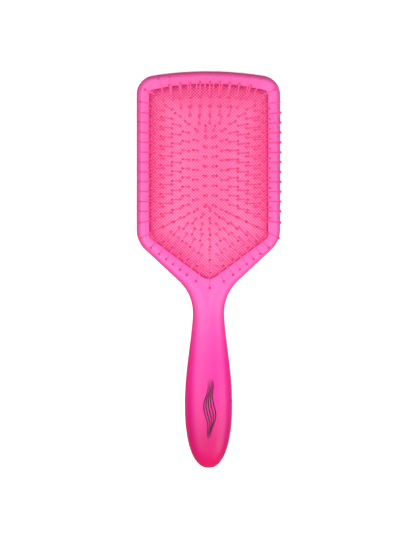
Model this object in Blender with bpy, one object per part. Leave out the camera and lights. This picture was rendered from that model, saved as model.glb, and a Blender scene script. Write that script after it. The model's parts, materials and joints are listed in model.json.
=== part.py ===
"""Paddle brush: a hollow two-shell moulded body, a domed rubber cushion, and ball-tipped pins.

Frame: X across the head, +Y towards the top of the head, +Z out of the pin face.
The origin lies on the flat back, under the middle of the cushion.
Driving dimensions are in millimetres and become metres where a vertex is made.
"""
import math

import bmesh
import bpy
from mathutils import Vector

MM = 0.001
GAP = 0.3                   # clearance between neighbouring pieces
SHARP_FROM = math.radians(40.0)     # round pieces are shaded smooth below this angle

# outline of head and handle
HEAD_HALF = 45.3            # half width of the head
HEAD_TOP = 70.0             # top of the head
HEAD_ARC_R = 222.0          # radius of the shallow arc across the top
HEAD_CORNER_R = 12.0
SHOULDER_Y = -37.4          # where side and tapering edge would meet
SHOULDER_R = 17.0
TAPER_TURN = math.radians(47.0)     # turn from the straight side to the tapering edge
NECK_HALF = 9.84
NECK_R = 28.0               # hollow fillet from the tapering edge into the handle
GRIP_HALF = 14.91
GRIP_Y = -140.0             # widest place of the handle
GRIP_RISE = 1.5             # power of the swell from neck to grip
HANDLE_END = -180.0
END_POWER = 2.3             # superellipse exponent of the handle's end
END_SPINE_Y = -167.0        # lowest point of the handle's spine
TOP_ARC_STEPS = 6           # segments across half of the top
HEAD_CORNER_STEPS = 5
SHOULDER_STEPS = 4
NECK_STEPS = 5
SWELL_STEPS = 6             # from the neck to the widest place of the grip
END_STEPS = 8

# heights of the two shells
SEAM_Z = 6.5
RIM_Z = 13.0                # front of the head
GRIP_Z = 17.0               # front of the handle at the grip
END_DROP = 3.0
BACK_RISE = 1.6             # how far the back lifts at the handle's end
SWELL_START_Y = -72.0
HEAD_EDGE_R = 4.0           # edge rounding of the head, across the outline
HANDLE_ROUND = 0.74         # share of the handle's half width that is rounded
BLEND_TOP_Y = -60.0         # the rounding changes from head to handle between these
BLEND_LOW_Y = -86.0
WALL = 2.2
LEAST_INNER_ROUND = 0.4     # the cavity's edge is rounded by at least this
CAVITY_OPENS = 2.0          # how far the cavity passes the seam

# cushion opening and cushion
PAD_HALF = 37.05
PAD_TOP = 61.6
PAD_ARC_R = 162.0
PAD_CORNER_R = 3.0
PAD_SIDE_R = 2.5
PAD_TIP_Y = -62.2           # where the two lower edges would meet
PAD_TIP_R = 7.5
PAD_V = math.radians(36.8)  # lower edges, below the horizontal
PAD_CORNER_STEPS = 3
PAD_EDGE_Z = 12.6
DOME_H = 10.0
DOME_SHARPNESS = 0.35       # how tightly the dome's hips are creased, per mm
SKIN = 1.6                  # thickness of the rubber
FLANGE_OUT = 2.3
FLANGE_TOP = 10.5
FLANGE_LOW = 9.0
DOME_STEPS = (0.985, 0.95, 0.87, 0.72, 0.5, 0.24)
SPINE_LOW_Y, SPINE_TOP_Y = -22.0, 26.0      # ends of the line the dome closes up to
OPENING_TOP_Z = 18.0        # where the opening's cutter ends, clear of the front

# clamp rib and locating pegs
RIB_IN, RIB_OUT = 0.5, 2.1
RIB_ROOT = 1.2              # how deep the rib starts inside the back wall
PEG_YS = (-92.0, -152.0)
PEG_R = 1.3
PEG_CLEAR = 0.6             # from a peg's end to the bottom of its socket
BOSS_R = 2.9
PEG_SIDES = 12

# pins: rings parallel to the cushion's edge, from the outside in
PIN_INSET = 3.4
RING_STEP = 5.25
TOP_MORE = (0.0, 0.0, 0.8, 0.7, 0.7, 0.2, -0.7)      # extra inset along the top edge, by ring
LOWER_MORE = 2.3            # extra inset of the rows along the lower edges
PIN_LENGTH = 19.0
PIN_HALF = 0.36             # half a side of a pin's square section
TIP_HALF = 0.62
TIP_RISE, TIP_BELOW = 0.8, 0.8      # the ball's end above and its start below its middle
HOLE_HALF = 0.53
HOLE_REACH = 4.0
RING_LEAN = (9.9, 8.6, 7.3, 5.4, 4.3, 3.1, 1.8)     # how far a tip stands outside its foot
TOP_LEAN = (0.8, 0.95, 0.66, 0.8, 0.75, 0.75, 0.75)
LOWER_LEAN = (1.0, 0.82, 0.72, 0.72, 0.8, 0.8, 0.8)
SIDE_STEPS = (14, 13, 12, 11, 10, 8, 7)
TOP_STEPS = (13, 10, 8, 6, 4, 3, 1)
LOWER_STEPS = (8, 6, 5, 4, 3, 2, 1)
CORNER_BLEND = 9.0          # the lean turns towards the corner within this distance
UPPER_TURN = 0.5            # how much of that turn a side pin makes at the upper corner
UPPER_LESS = 0.6            # and how much less it leans there
WHOLE_LOWER_FROM = 4        # from this ring inwards, one piece carries the whole lower V
CENTRE_RING = 6
BAR_THICK = 0.8
BAR_DEPTH = 2.8             # from the top of the skin to the top of the bar, along a pin

# how the cushion gives way under a press
PRESS_KEEP = 0.55           # share of the dome's height left at full press
PRESS_FLOOR_Z = 10.8        # height that stays put while the dome flattens


def clear_scene():
    for obj in list(bpy.data.objects):
        bpy.data.objects.remove(obj, do_unlink=True)


def collection(name):
    made = bpy.data.collections.new(name)
    bpy.context.scene.collection.children.link(made)
    return made


def material(name, colour, roughness, metallic=0.0):
    made = bpy.data.materials.new(name)
    made.use_nodes = True
    shader = made.node_tree.nodes["Principled BSDF"]
    shader.inputs["Base Color"].default_value = (*colour, 1.0)
    shader.inputs["Roughness"].default_value = roughness
    shader.inputs["Metallic"].default_value = metallic
    return made


def arc(cx, cy, radius, start, end, steps):
    """Points on an arc; angles in radians from +X."""
    turn = (end - start) / steps
    return [(cx + radius * math.cos(start + turn * i), cy + radius * math.sin(start + turn * i))
            for i in range(steps + 1)]


def whole(half):
    """The right half, listed from top to bottom, and its mirror image as one loop."""
    return half + [(-x, y) for x, y in reversed(half[1:-1])]


def smooth(t):
    t = min(max(t, 0.0), 1.0)
    return t * t * (3.0 - 2.0 * t)


def capped_top(half_width, top, arc_r, corner_r, steps, corner_steps):
    """The shallow top arc and its rounded corner, down to the straight side."""
    centre_y = top - arc_r
    reach = arc_r - corner_r
    corner_x = half_width - corner_r
    lean = math.asin(corner_x / reach)
    corner_y = centre_y + reach * math.cos(lean)
    upright = math.pi / 2.0
    across = arc(0.0, centre_y, arc_r, upright, upright - lean, steps)
    across[0] = (0.0, top)
    return across + arc(corner_x, corner_y, corner_r, upright - lean, 0.0, corner_steps)[1:]


def body_outline():
    half = capped_top(HEAD_HALF, HEAD_TOP, HEAD_ARC_R, HEAD_CORNER_R,
                      TOP_ARC_STEPS, HEAD_CORNER_STEPS)
    tangent = SHOULDER_R * math.tan(TAPER_TURN / 2.0)
    half += arc(HEAD_HALF - SHOULDER_R, SHOULDER_Y + tangent, SHOULDER_R,
                0.0, -TAPER_TURN, SHOULDER_STEPS)
    neck_corner_y = SHOULDER_Y - (HEAD_HALF - NECK_HALF) / math.tan(TAPER_TURN)
    neck_y = neck_corner_y - NECK_R * math.tan(TAPER_TURN / 2.0)
    half += arc(NECK_HALF + NECK_R, neck_y, NECK_R,
                math.pi - TAPER_TURN, math.pi, NECK_STEPS)
    for i in range(1, SWELL_STEPS + 1):
        share = i / SWELL_STEPS
        swell = math.sin(share * math.pi / 2.0) ** GRIP_RISE
        half.append((NECK_HALF + (GRIP_HALF - NECK_HALF) * swell,
                     neck_y + (GRIP_Y - neck_y) * share))
    length = GRIP_Y - HANDLE_END
    for i in range(1, END_STEPS):
        turn = math.pi / 2.0 * i / END_STEPS
        half.append((GRIP_HALF * math.cos(turn) ** (2.0 / END_POWER),
                     GRIP_Y - length * math.sin(turn) ** (2.0 / END_POWER)))
    half.append((0.0, HANDLE_END))
    return whole(half)


def pad_outline():
    half = capped_top(PAD_HALF, PAD_TOP, PAD_ARC_R, PAD_CORNER_R,
                      TOP_ARC_STEPS, PAD_CORNER_STEPS)
    side_y = PAD_TIP_Y + PAD_HALF * math.tan(PAD_V)
    turn = math.pi / 2.0 - PAD_V
    tangent = PAD_SIDE_R * math.tan(turn / 2.0)
    middle = (half[-1][1] + side_y + tangent) / 2.0
    half.append((PAD_HALF, middle))
    half += arc(PAD_HALF - PAD_SIDE_R, side_y + tangent, PAD_SIDE_R,
                0.0, -turn, PAD_CORNER_STEPS)
    tip_y = PAD_TIP_Y + PAD_TIP_R / math.cos(PAD_V)
    tip = arc(0.0, tip_y, PAD_TIP_R, PAD_V - math.pi / 2.0, -math.pi / 2.0,
              PAD_CORNER_STEPS)
    last = half[-1]
    half.append(((last[0] + tip[0][0]) / 2.0, (last[1] + tip[0][1]) / 2.0))
    half += tip
    half[-1] = (0.0, tip_y - PAD_TIP_R)
    return whole(half)


def outward(loop):
    """For each point of a clockwise loop, the mitred outward step for an offset of one."""
    steps = []
    count = len(loop)
    for i, point in enumerate(loop):
        before = Vector(point) - Vector(loop[i - 1])
        after = Vector(loop[(i + 1) % count]) - Vector(point)
        first = Vector((-before.y, before.x)).normalized()
        second = Vector((-after.y, after.x)).normalized()
        middle = (first + second).normalized()
        steps.append(middle / middle.dot(first))
    return steps


def offset(loop, distance):
    return [(x + step.x * distance, y + step.y * distance)
            for (x, y), step in zip(loop, outward(loop))]


def add_mesh(name, verts, faces, look, group, origin=(0.0, 0.0, 0.0), rounded=False):
    """A mesh object from points in millimetres, with its origin at the given point."""
    base = Vector(origin)
    mesh = bpy.data.meshes.new(name)
    mesh.from_pydata([(Vector(v) - base) * MM for v in verts], [], faces)
    work = bmesh.new()
    work.from_mesh(mesh)
    bmesh.ops.recalc_face_normals(work, faces=work.faces)
    work.to_mesh(mesh)
    work.free()
    if rounded:
        mesh.shade_smooth()
        mesh.set_sharp_from_angle(angle=SHARP_FROM)
    made = bpy.data.objects.new(name, mesh)
    made.location = base * MM
    if look:
        mesh.materials.append(look)
    group.objects.link(made)
    return made


def loft_data(loops, closed=False):
    """Quads between loops of equal length; both ends are capped across the mirror plane."""
    count = len(loops[0])
    verts = [point for loop in loops for point in loop]
    faces = []
    pairs = list(zip(range(len(loops)), range(1, len(loops))))
    if closed:
        pairs.append((len(loops) - 1, 0))
    for low, high in pairs:
        for i in range(count):
            j = (i + 1) % count
            faces.append((low * count + i, low * count + j, high * count + j, high * count + i))
    if not closed:
        for start in (0, (len(loops) - 1) * count):
            for i in range(count // 2):
                ring = (i, i + 1, count - i - 1, (count - i) % count)
                faces.append(tuple(start + k for k in dict.fromkeys(ring)))
    return verts, faces


def at_height(loop, z):
    return [(x, y, z) for x, y in loop]


def prism(name, loop, low, high, group, look=None):
    verts, faces = loft_data([at_height(loop, low), at_height(loop, high)])
    return add_mesh(name, verts, faces, look, group)


def as_helper(obj):
    obj.hide_render = True
    obj.display_type = "WIRE"
    return obj


def boolean(target, other, operation):
    made = target.modifiers.new(operation.lower() + "_" + other.name, "BOOLEAN")
    made.operation = operation
    made.solver = "EXACT"
    made.object = other


def front_height(y):
    rise = smooth((SWELL_START_Y - y) / (SWELL_START_Y - GRIP_Y))
    drop = max(GRIP_Y - y, 0.0) / (GRIP_Y - HANDLE_END)
    return RIM_Z + (GRIP_Z - RIM_Z) * rise - END_DROP * drop * drop


def back_height(y):
    return BACK_RISE * smooth((BLEND_LOW_Y - y) / (BLEND_LOW_Y - HANDLE_END))


def shell_rows(loop):
    """For each outline point: its inward step and how far inwards the edge is rounded."""
    rows = []
    for (x, y), step in zip(loop, outward(loop)):
        share = smooth((BLEND_TOP_Y - y) / (BLEND_TOP_Y - BLEND_LOW_Y))
        to_spine = Vector((-x, max(END_SPINE_Y - y, 0.0)))
        reach = to_spine.length
        inward = -step
        if y < BLEND_LOW_Y:
            inward = to_spine.normalized()
        rounding = HEAD_EDGE_R * (1.0 - share) + HANDLE_ROUND * reach * share
        rows.append((x, y, inward, rounding))
    return rows


def half_shell(rows, height, sign, wall, angles, start_z):
    """Loops of one shell half, from the seam to its flat; wall 0 gives the outside."""
    loops = []
    for degrees in angles:
        turn = math.radians(degrees)
        loop = []
        for x, y, inward, rounding in rows:
            inner_rounding = rounding
            if wall:
                inner_rounding = max(rounding - wall, LEAST_INNER_ROUND)
            across = wall + inner_rounding * (1.0 - math.cos(turn))
            top = height(y) - sign * wall
            z = SEAM_Z + (top - SEAM_Z) * math.sin(turn)
            point_x = x + inward.x * across
            if x == 0.0:
                point_x = 0.0
            loop.append((point_x, y + inward.y * across, z))
        loops.append(loop)
    loops[0] = [(x, y, start_z) for x, y, _ in loops[0]]
    return loops


OUTER_ANGLES = (0.0, 24.0, 48.0, 69.0, 90.0)
INNER_ANGLES = (0.0, 0.0, 50.0, 90.0)


def shell(name, height, group, helpers, look):
    """One half of the hollow body: the rounded outside less its cavity."""
    sign = 1.0 if height is front_height else -1.0
    rows = shell_rows(body_outline())
    outside = half_shell(rows, height, sign, 0.0, OUTER_ANGLES, SEAM_Z + sign * GAP / 2.0)
    made = add_mesh(name, *loft_data(outside), look, group, rounded=True)
    inside = half_shell(rows, height, sign, WALL, INNER_ANGLES, SEAM_Z - sign * CAVITY_OPENS)
    cavity = as_helper(add_mesh(name + "_cavity", *loft_data(inside), None, helpers))
    boolean(made, cavity, "DIFFERENCE")
    return made


def rib_loops():
    """Section of the rib that clamps the cushion's flange, run round the opening."""
    pad = pad_outline()
    outer = offset(pad, RIB_OUT)
    inner = offset(pad, RIB_IN)
    top = FLANGE_LOW - GAP
    return [at_height(outer, RIB_ROOT), at_height(outer, top),
            at_height(inner, top), at_height(inner, RIB_ROOT)]


def round_post(name, y, radius, low, high, helpers):
    """A round post standing on the middle line of the handle."""
    loop = [(radius * math.sin(2.0 * math.pi * i / PEG_SIDES),
             y + radius * math.cos(2.0 * math.pi * i / PEG_SIDES)) for i in range(PEG_SIDES)]
    return as_helper(prism(name, loop, low, high, helpers))


def edge_distances(x, y):
    """Distance inside each of the cushion's five edges."""
    yield PAD_HALF - x
    yield PAD_HALF + x
    yield PAD_ARC_R - math.hypot(x, y - PAD_TOP + PAD_ARC_R)
    for side in (-1.0, 1.0):
        yield (y - PAD_TIP_Y) * math.cos(PAD_V) - side * x * math.sin(PAD_V)


def dome_height(x, y):
    """Height of the cushion's skin: a pillow that is steep at its edge and flat on top."""
    total = sum(math.exp(-DOME_SHARPNESS * d) for d in edge_distances(x, y))
    depth = -math.log(total) / DOME_SHARPNESS
    share = min(max(depth / PAD_HALF, 0.0), 1.0)
    return PAD_EDGE_Z + DOME_H * math.sqrt(1.0 - (1.0 - share) ** 2)


def shrunk(loop, share):
    """The loop drawn in towards the cushion's spine."""
    drawn = []
    for x, y in loop:
        spine = min(max(y, SPINE_LOW_Y), SPINE_TOP_Y)
        drawn.append((x * share, spine + (y - spine) * share))
    return drawn


def cushion(group, helpers, look, posts):
    """Domed skin, short wall in the opening and a clamped flange, with a hole for each pin."""
    edge = offset(pad_outline(), -GAP)
    brim = offset(pad_outline(), FLANGE_OUT)
    inner = offset(pad_outline(), -GAP - SKIN)
    loops = []
    for share in reversed(DOME_STEPS):
        loops.append([(x, y, dome_height(x, y)) for x, y in shrunk(edge, share)])
    loops.append(at_height(edge, PAD_EDGE_Z))
    loops.append(at_height(edge, FLANGE_TOP))
    loops.append(at_height(brim, FLANGE_TOP))
    loops.append(at_height(brim, FLANGE_LOW))
    loops.append(at_height(inner, FLANGE_LOW))
    for share in DOME_STEPS[1:]:
        under = shrunk(inner, share)
        loops.append([(x, y, dome_height(x, y) - SKIN) for x, y in under])
    made = add_mesh("cushion", *loft_data(loops), look, group, rounded=True)
    verts, faces = [], []
    for post in posts:
        add_sleeve(verts, faces, post)
    holes = as_helper(add_mesh("pin_holes", verts, faces, None, helpers))
    boolean(made, holes, "DIFFERENCE")
    return made


def square(middle, post, half):
    """Four corners of a square section across a post."""
    _, _, across, way = post
    return [middle + (across * u + way * v) * half
            for u, v in ((1.0, 1.0), (-1.0, 1.0), (-1.0, -1.0), (1.0, -1.0))]


def add_sleeve(verts, faces, post):
    """A square bar that cuts one pin's hole through the skin."""
    foot, along, _, _ = post
    start = len(verts)
    for distance in (-HOLE_REACH, HOLE_REACH):
        verts.extend(square(foot + along * distance, post, HOLE_HALF))
    faces.append((start, start + 1, start + 2, start + 3))
    faces.append((start + 4, start + 5, start + 6, start + 7))
    add_walls(faces, start, start + 4)


def add_walls(faces, low, high):
    for i in range(4):
        j = (i + 1) % 4
        faces.append((low + i, low + j, high + j, high + i))


def ring_corners(ring):
    """Upper and lower corner of a ring's straight right side, and its lowest point."""
    inset = PIN_INSET + RING_STEP * ring
    x = PAD_HALF - inset
    radius = PAD_ARC_R - inset - TOP_MORE[ring]
    centre_y = PAD_TOP - PAD_ARC_R
    tip_y = PAD_TIP_Y + (inset + LOWER_MORE) / math.cos(PAD_V)
    upper = Vector((x, centre_y + math.sqrt(radius * radius - x * x)))
    lower = Vector((x, tip_y + x * math.tan(PAD_V)))
    return upper, lower, Vector((0.0, tip_y)), radius, centre_y


def mixed(first, second, share, first_lean, second_lean):
    """A lean between two directions, as a step in the plane."""
    direction = (first * (1.0 - share) + second * share).normalized()
    return direction * (first_lean * (1.0 - share) + second_lean * share)


def corner_share(distance):
    """How much a pin leans towards the corner: half at the corner, none farther off."""
    near = max(1.0 - distance / CORNER_BLEND, 0.0)
    return 0.5 * near ** 1.5


def ring_pins(ring):
    """Feet and leans of one ring, by side, for the right half and the whole top."""
    upper, lower, tip, radius, centre_y = ring_corners(ring)
    side_lean = RING_LEAN[ring]
    top_lean = side_lean * TOP_LEAN[ring]
    lower_lean = side_lean * LOWER_LEAN[ring]
    side_out = Vector((1.0, 0.0))
    lower_out = Vector((math.sin(PAD_V), -math.cos(PAD_V)))

    def top_out(x):
        return Vector((x / radius, math.sqrt(1.0 - (x / radius) ** 2)))

    side = []
    length = (upper - lower).length
    for i in range(SIDE_STEPS[ring] + 1):
        share = i / SIDE_STEPS[ring]
        place = upper.lerp(lower, share)
        high = corner_share(length * share)
        low = corner_share(length * (1.0 - share))
        if high >= low:
            lean = mixed(side_out, top_out(place.x), high * UPPER_TURN, side_lean, top_lean)
            lean *= 1.0 - UPPER_LESS * high
        else:
            lean = mixed(side_out, lower_out, low, side_lean, lower_lean)
        side.append((place, lean))
    down = []
    length = (tip - lower).length
    for i in range(1, LOWER_STEPS[ring]):
        share = i / LOWER_STEPS[ring]
        place = lower.lerp(tip, share)
        high = corner_share(length * share)
        low = corner_share(length * (1.0 - share))
        if high >= low:
            lean = mixed(lower_out, side_out, high, lower_lean, side_lean)
        else:
            lean = mixed(lower_out, Vector((0.0, -1.0)), 2.0 * low, lower_lean, lower_lean)
        down.append((place, lean))
    across = []
    for i in range(1, TOP_STEPS[ring]):
        x = upper.x * (1.0 - 2.0 * i / TOP_STEPS[ring])
        place = Vector((x, centre_y + math.sqrt(radius * radius - x * x)))
        share = corner_share(upper.x - abs(x))
        side_way = Vector((math.copysign(1.0, x), 0.0))
        across.append((place, mixed(top_out(x), side_way, share, top_lean, side_lean)))
    return side, down, across, (tip, Vector((0.0, -lower_lean)))


def mirrored(pins):
    return [(Vector((-place.x, place.y)), Vector((-lean.x, lean.y))) for place, lean in pins]


def lifted(pins):
    """Plane feet and leans as feet on the cushion and unit axes."""
    made = []
    for place, lean in pins:
        foot = Vector((place.x, place.y, dome_height(place.x, place.y)))
        rise = math.sqrt(PIN_LENGTH ** 2 - lean.length_squared)
        made.append((foot, Vector((lean.x, lean.y, rise)).normalized()))
    return made


def strips():
    """(name, pins, outward direction) of every row of pins that tilts as one piece."""
    made = []
    lower_right = Vector((math.sin(PAD_V), -math.cos(PAD_V)))
    lower_left = Vector((-lower_right.x, lower_right.y))
    for ring in range(CENTRE_RING):
        side, down, across, tip = ring_pins(ring)
        label = str(ring + 1)
        made.append(("pins_top_" + label, across, Vector((0.0, 1.0))))
        made.append(("pins_right_" + label, side, Vector((1.0, 0.0))))
        made.append(("pins_left_" + label, mirrored(side), Vector((-1.0, 0.0))))
        if ring < WHOLE_LOWER_FROM:
            made.append(("pins_lower_right_" + label, down, lower_right))
            made.append(("pins_lower_left_" + label, mirrored(down) + [tip], lower_left))
        else:
            row = down + [tip] + list(reversed(mirrored(down)))
            made.append(("pins_lower_" + label, row, Vector((0.0, -1.0))))
    return [(name, lifted(pins), way) for name, pins, way in made]


def centre_pins():
    """The innermost ring: up the right column, over the top and down the left column."""
    side, down, across, tip = ring_pins(CENTRE_RING)
    return lifted([tip] + list(reversed(side)) + mirrored(side))


def hinge_of(pins, way):
    """Angle a row turns through at full press, and the line it turns about.

    The row's feet go down by the same amount as the skin that holds them, while its pins
    stand up as the skin under them flattens.
    """
    count = len(pins)
    out = Vector((way.x, way.y, 0.0))
    foot = sum((f for f, _ in pins), Vector()) / count
    axis = sum((a for _, a in pins), Vector()).normalized()
    lean = math.atan2(axis.dot(out), axis.z)
    turn = lean - math.atan(PRESS_KEEP * math.tan(lean))
    drop = (1.0 - PRESS_KEEP) * (foot.z - PRESS_FLOOR_Z)
    return turn, foot + out * (drop / math.sin(turn)), Vector((way.y, -way.x, 0.0))


def posts_of(pins, ring=False):
    """(foot, axis, across the row, along the row) of each pin in a row."""
    made = []
    count = len(pins)
    for i, (foot, along) in enumerate(pins):
        after = pins[(i + 1) % count if ring else min(i + 1, count - 1)][0]
        before = pins[(i - 1) % count if ring else max(i - 1, 0)][0]
        run = after - before
        way = (run - along * run.dot(along)).normalized()
        made.append((foot, along, along.cross(way), way))
    return made


def pin_row(name, posts, origin, group, look, ring=False):
    """A row of ball-tipped pins standing on one thin bar behind the skin, as one piece."""
    verts, faces = [], []
    ball = PIN_LENGTH - TIP_RISE
    levels = ((-BAR_DEPTH - BAR_THICK, PIN_HALF), (-BAR_DEPTH, PIN_HALF),
              (ball - TIP_BELOW, PIN_HALF), (ball, TIP_HALF))
    size = 4 * len(levels) + 1
    for k, post in enumerate(posts):
        foot, along, _, _ = post
        start = k * size
        for distance, half in levels:
            verts.extend(square(foot + along * distance, post, half))
        verts.append(foot + along * PIN_LENGTH)
        faces.append((start, start + 1, start + 2, start + 3))
        faces.append((start + 1, start + 2, start + 6, start + 5))
        faces.append((start + 3, start, start + 4, start + 7))
        add_walls(faces, start + 4, start + 8)
        add_walls(faces, start + 8, start + 12)
        for i in range(4):
            faces.append((start + 12 + i, start + 12 + (i + 1) % 4, start + 16))
    for k in range(len(posts) if ring else len(posts) - 1):
        here = k * size
        there = ((k + 1) % len(posts)) * size
        end = (here, here + 1, here + 5, here + 4)
        begin = (there + 3, there + 2, there + 6, there + 7)
        for i in range(4):
            j = (i + 1) % 4
            faces.append((end[i], end[j], begin[j], begin[i]))
    if not ring:
        last = (len(posts) - 1) * size
        faces.append((3, 2, 6, 7))
        faces.append((last, last + 1, last + 5, last + 4))
    return add_mesh(name, verts, faces, look, group, origin)


def main():
    clear_scene()
    parts = collection("paddle_brush")
    helpers = collection("cutters")
    pink = material("soft_touch_pink", (0.93, 0.16, 0.52), 0.42)
    back_pink = material("soft_touch_pink_back", (0.90, 0.13, 0.46), 0.45)
    rubber = material("cushion_rubber", (0.92, 0.15, 0.35), 0.6)
    nylon = material("pin_nylon", (0.80, 0.09, 0.24), 0.35)

    rows = strips()
    posts = {name: posts_of(pins) for name, pins, _ in rows}
    posts["pins_centre"] = posts_of(centre_pins(), ring=True)

    front = shell("front_shell", front_height, parts, helpers, pink)
    opening = as_helper(prism("opening", pad_outline(), SEAM_Z, OPENING_TOP_Z, helpers))
    boolean(front, opening, "DIFFERENCE")
    back = shell("back_shell", back_height, parts, helpers, back_pink)
    clamp = as_helper(add_mesh("clamp_rib", *loft_data(rib_loops(), closed=True), None, helpers))
    boolean(back, clamp, "UNION")
    for i, y in enumerate(PEG_YS):
        inner_face = back_height(y) + WALL
        boss = round_post("boss_%d" % i, y, BOSS_R, back_height(y) + RIB_ROOT, SEAM_Z, helpers)
        boolean(back, boss, "UNION")
        socket = round_post("socket_%d" % i, y, PEG_R + GAP, inner_face, RIM_Z, helpers)
        boolean(back, socket, "DIFFERENCE")
        peg = round_post("peg_%d" % i, y, PEG_R, inner_face + PEG_CLEAR,
                         front_height(y) - RIB_ROOT, helpers)
        boolean(front, peg, "UNION")

    cushion(parts, helpers, rubber, [post for row in posts.values() for post in row])
    for name, pins, way in rows:
        pin_row(name, posts[name], hinge_of(pins, way)[1], parts, nylon)
    middle = (0.0, 0.0, dome_height(0.0, 0.0))
    pin_row("pins_centre", posts["pins_centre"], middle, parts, nylon, ring=True)
    return rows


ROWS = main()
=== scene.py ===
"""Paddle brush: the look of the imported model, with its stage, lights and camera.

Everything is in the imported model's frame: X across the head, +Y towards its top, +Z out of the
pin face. Lengths are in millimetres, and become metres where Blender gets them; a length whose
name ends in _M is in metres from the start.
"""
import json
import math

import bmesh
import bpy
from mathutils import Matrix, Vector
from mathutils.bvhtree import BVHTree


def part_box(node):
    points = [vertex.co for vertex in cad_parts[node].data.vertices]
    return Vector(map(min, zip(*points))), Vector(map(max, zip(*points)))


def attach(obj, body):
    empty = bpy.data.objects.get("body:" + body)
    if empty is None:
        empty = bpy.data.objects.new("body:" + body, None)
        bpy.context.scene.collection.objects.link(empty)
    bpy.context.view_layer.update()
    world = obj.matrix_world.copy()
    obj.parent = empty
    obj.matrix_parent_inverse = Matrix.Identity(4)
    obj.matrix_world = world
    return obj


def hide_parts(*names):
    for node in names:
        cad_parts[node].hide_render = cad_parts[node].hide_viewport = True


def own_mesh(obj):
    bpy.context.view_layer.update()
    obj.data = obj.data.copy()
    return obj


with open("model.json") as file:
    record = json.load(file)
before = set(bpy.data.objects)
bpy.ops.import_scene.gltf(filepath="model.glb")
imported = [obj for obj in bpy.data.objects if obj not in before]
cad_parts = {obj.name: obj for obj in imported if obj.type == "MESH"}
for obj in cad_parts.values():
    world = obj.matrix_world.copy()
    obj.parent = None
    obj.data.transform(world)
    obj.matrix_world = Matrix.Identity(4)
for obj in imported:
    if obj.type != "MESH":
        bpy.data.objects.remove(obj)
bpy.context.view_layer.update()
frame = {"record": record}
MM = 0.001
BODY_OF = {node: body for body, nodes in frame["record"]["behaviour"]["bodies"].items()
           for node in nodes}


def box_mm(node):
    """Low and high corner of a CAD node's box, in millimetres."""
    low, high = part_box(node)
    return low / MM, high / MM


FRONT_LOW, FRONT_HIGH = box_mm("front_shell")

# outline of head and handle
HEAD_HALF = FRONT_HIGH.x
HEAD_TOP = FRONT_HIGH.y
HEAD_ARC_R = 222.0
HEAD_CORNER_R = 12.0
SHOULDER_Y = -37.4
SHOULDER_R = 17.0
TAPER_TURN = math.radians(47.0)
NECK_HALF = 9.84
NECK_R = 28.0
GRIP_HALF = 14.91
GRIP_Y = -140.0
GRIP_RISE = 1.5                 # power that eases the neck into the grip
HANDLE_END = FRONT_LOW.y
END_POWER = 2.3                 # 2 would be an ellipse; more is squarer
END_SPINE_Y = -167.0            # the handle's end narrows towards this point

# heights of the two shells
SEAM_Z = 6.5
SEAM_GAP = 0.16
SEAM_DEPTH = 1.6
SEAM_EDGE_R = 0.22
SEAM_EDGE_MIDDLE = 0.3
RIM_Z = 13.0
GRIP_Z = 17.0
END_DROP = 3.0
BACK_RISE = 1.6
SWELL_START_Y = -72.0
HEAD_EDGE_R = 4.0
HANDLE_ROUND = 0.965            # share of the way to the spine that the handle is rounded
HANDLE_POWER = 2.45             # 2 would be an ellipse; more is squarer
BLEND_TOP_Y = -60.0             # from here down the section turns from head to handle
BLEND_LOW_Y = -86.0
SPINE_BLEND_Y = BLEND_TOP_Y - 16.0
SPINE_BLEND_LENGTH = 10.0
SHELL_ROUND_STEPS = 15
RIM_CROWN = 0.45                # fall of the rim from its crest to the opening
RIM_FACE = 4.3
RIM_STEPS = 4
SHARP_ANGLE = math.radians(35.0)
SHELL_WELD = 0.002

# opening for the cushion
OPENING_FLOOR_Z = 9.0
OPENING_TOP_Z = RIM_Z + 3.0
LIP_Z = RIM_Z - RIM_CROWN + 0.02    # just above the rim's inner edge
LIP_R = 0.35
LIP_STEPS = 6

# cushion
PAD_HALF = 37.05
PAD_TOP = 61.6
PAD_ARC_R = 162.0
PAD_CORNER_R = 3.0
PAD_SIDE_R = 2.5
PAD_TIP_Y = -62.2
PAD_TIP_R = 7.5
PAD_V = math.radians(36.8)
PAD_EDGE_Z = 12.6
DOME_H = 10.0
DOME_SHARPNESS = 0.35           # how tightly the dome's ridges follow the pad's edges
DOME_SHARP_ANGLE = math.radians(60.0)
# the dome's loops, as shares of its outline: closest at the edge, where it is steepest
DOME_SHARES = (1.0, 0.997, 0.992, 0.985, 0.976, 0.965, 0.952, 0.937, 0.92, 0.90, 0.878, 0.853,
               0.825, 0.795, 0.76, 0.72, 0.68, 0.64, 0.6, 0.55, 0.5, 0.45, 0.4, 0.35, 0.3, 0.25,
               0.2, 0.15, 0.1, 0.05, 0.02)
SLOPE_STEP = 0.05
PAD_GAP = 0.52                  # between the rubber and the opening
SKIRT_Z = 10.8
SPINE_LOW_Y = -22.0             # the dome's loops shrink towards the line between these two
SPINE_TOP_Y = 26.0

# sockets: (distance along the surface normal, radius)
SOCKET_SIDES = 16
SOCKET_RING = ((-0.9, 1.05), (-0.05, 1.05), (0.10, 0.98), (0.17, 0.85), (0.14, 0.72), (0.0, 0.66))
SOCKET_PIT = ((-0.5, 0.66), (0.05, 0.66), (0.06, 0.5))

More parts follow.
